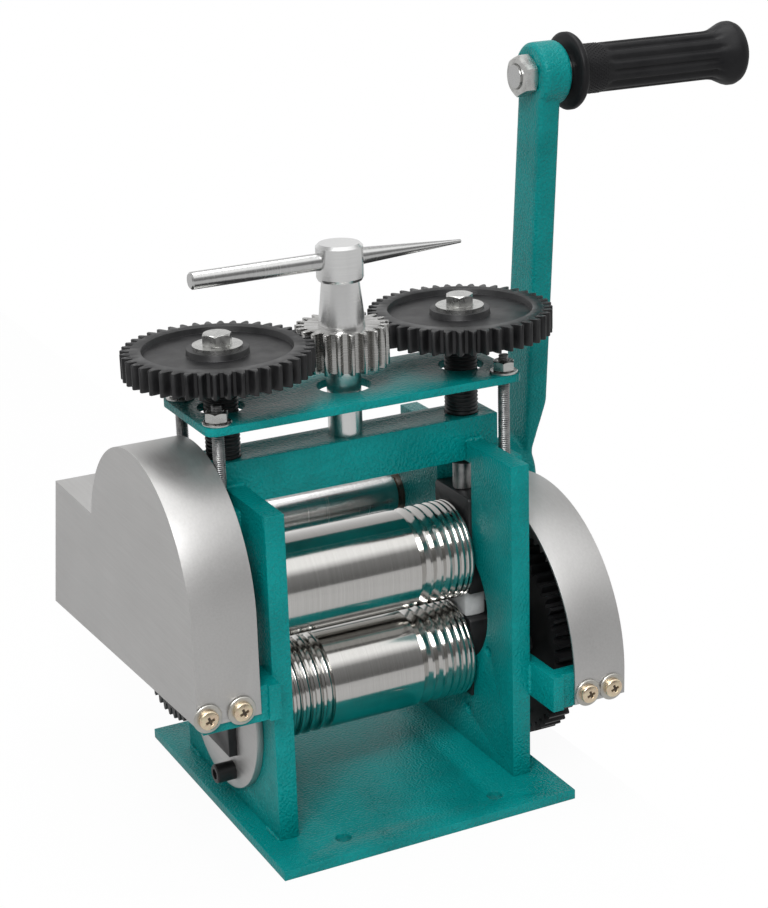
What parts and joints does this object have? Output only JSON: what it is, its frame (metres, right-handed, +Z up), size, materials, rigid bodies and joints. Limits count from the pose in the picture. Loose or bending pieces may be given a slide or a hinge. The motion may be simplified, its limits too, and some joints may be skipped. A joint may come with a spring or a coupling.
{
  "type": "hand-cranked bench rolling mill",
  "caption": "Bench rolling mill with plain and grooved rolls in a slotted plate frame, a geared screw-down turned by a tommy bar and a geared hand crank under sheet covers.",
  "frame": {"origin": "centre of the base plate's underside, on the bench", "axes": "+X along the rolls towards the crank, -Y towards the feed side, +Z up"},
  "size_m": [0.3763, 0.2254, 0.3601],
  "materials": {
    "green_paint": "teal green hammer-textured paint",
    "cover_sheet": "satin stainless sheet",
    "ground_steel": "ground and polished steel",
    "black_steel": "blackened steel with a film of oil",
    "zinc_plate": "bright zinc plating",
    "yellow_zinc": "yellow passivated zinc plating",
    "bush_bronze": "plain bearing bronze",
    "pad_rubber": "light grey rubber",
    "grip_plastic": "black fluted plastic"
  },
  "bodies": {
    "frame": {"base_plate": "green_paint", "side_plate_left": "green_paint", "side_plate_right": "green_paint", "cross_beam": "green_paint", "top_plate": "green_paint", "top_studs": "ground_steel", "stud_nuts": "zinc_plate", "stud_washers": "zinc_plate", "lower_block_left": "black_steel", "lower_block_right": "black_steel", "lower_bush_left": "bush_bronze", "lower_bush_right": "bush_bronze", "flange_left": "cover_sheet", "flange_right": "cover_sheet", "flange_screws": "black_steel", "crank_bush_left": "bush_bronze", "crank_bush_right": "bush_bronze", "lift_pad_left": "pad_rubber", "lift_pad_right": "pad_rubber", "left_cover": "cover_sheet", "right_cover": "cover_sheet", "left_cover_lug": "green_paint", "right_cover_lug": "green_paint", "cover_screws": "yellow_zinc", "cover_washers": "zinc_plate", "idler_axle": "ground_steel"},
    "handle": {"handle_spindle": "ground_steel", "handle_pinion": "ground_steel", "handle_hub": "ground_steel", "tommy_bar": "ground_steel"},
    "upper_blocks": {"upper_block_left": "black_steel", "upper_block_right": "black_steel"},
    "left_screw": {"press_screw_left": "black_steel", "screw_gear_left": "black_steel", "gear_washer_left": "zinc_plate", "gear_bolt_left": "zinc_plate"},
    "right_screw": {"press_screw_right": "black_steel", "screw_gear_right": "black_steel", "gear_washer_right": "zinc_plate", "gear_bolt_right": "zinc_plate"},
    "upper_bushes": {"upper_bush_left": "bush_bronze", "upper_bush_right": "bush_bronze"},
    "upper_roll": {"upper_roll": "ground_steel", "upper_roll_gear": "black_steel", "upper_gear_nut": "ground_steel"},
    "lower_roll": {"lower_roll": "ground_steel", "lower_roll_gear": "black_steel", "lower_gear_nut": "ground_steel"},
    "idler": {"idler_gear": "black_steel"},
    "crank": {"crank_shaft": "ground_steel", "crank_pinion_left": "ground_steel", "crank_pinion_right": "ground_steel", "crank_arm": "green_paint", "crank_nut": "zinc_plate", "grip_spindle": "ground_steel", "grip_nut": "zinc_plate"},
    "grip": {"grip": "grip_plastic"}
  },
  "joints": [
    {"name": "screw_down", "type": "hinge", "parent": "frame", "child": "handle", "pos_m": [0, 0, 0.2295], "axis": [0, 0, 1], "range_deg": [-542, 1322]},
    {"name": "upper_slide", "type": "slide", "parent": "frame", "child": "upper_blocks", "axis": [0, 0, 1], "range_m": [-0.0035, 0.00143], "deforming": ["lift_pad_left", "lift_pad_right"]},
    {"name": "left_screw_turn", "type": "hinge", "parent": "upper_blocks", "child": "left_screw", "pos_m": [-0.065, 0, 0.143], "axis": [0, 0, 1], "range_deg": [-631, 258.73]},
    {"name": "right_screw_turn", "type": "hinge", "parent": "upper_blocks", "child": "right_screw", "pos_m": [0.065, 0, 0.143], "axis": [0, 0, 1], "range_deg": [-631, 258.73]},
    {"name": "bush_creep", "type": "hinge", "parent": "upper_blocks", "child": "upper_bushes", "pos_m": [0, 0, 0.111], "axis": [1, 0, 0], "range_deg": [-1.76, 4.02]},
    {"name": "crank_turn", "type": "hinge", "parent": "frame", "child": "crank", "pos_m": [0, 0.0674, 0.12], "axis": [1, 0, 0], "continuous": true},
    {"name": "upper_roll_turn", "type": "hinge", "parent": "upper_bushes", "child": "upper_roll", "pos_m": [0, 0, 0.111], "axis": [1, 0, 0], "continuous": true},
    {"name": "lower_roll_turn", "type": "hinge", "parent": "frame", "child": "lower_roll", "pos_m": [0, 0, 0.056], "axis": [1, 0, 0], "continuous": true},
    {"name": "idler_turn", "type": "hinge", "parent": "frame", "child": "idler", "pos_m": [0.096, 0.03956, 0.10883], "axis": [1, 0, 0], "continuous": true},
    {"name": "grip_spin", "type": "hinge", "parent": "crank", "child": "grip", "pos_m": [0.21, 0.04756, 0.34011], "axis": [1, 0, 0], "continuous": true}
  ],
  "couplings": [
    {"joint": "screw_down", "follows": "upper_slide", "rad_per_m": -6582.4},
    {"joint": "left_screw_turn", "follows": "upper_slide", "rad_per_m": 3141.6},
    {"joint": "right_screw_turn", "follows": "upper_slide", "rad_per_m": 3141.6},
    {"joint": "bush_creep", "follows": "upper_slide", "rad_per_m": -19.062},
    {"joint": "upper_roll_turn", "follows": "crank_turn", "ratio": -0.30769},
    {"joint": "lower_roll_turn", "follows": "crank_turn", "ratio": 0.30769},
    {"joint": "idler_turn", "follows": "crank_turn", "ratio": -1.1429}
  ]
}
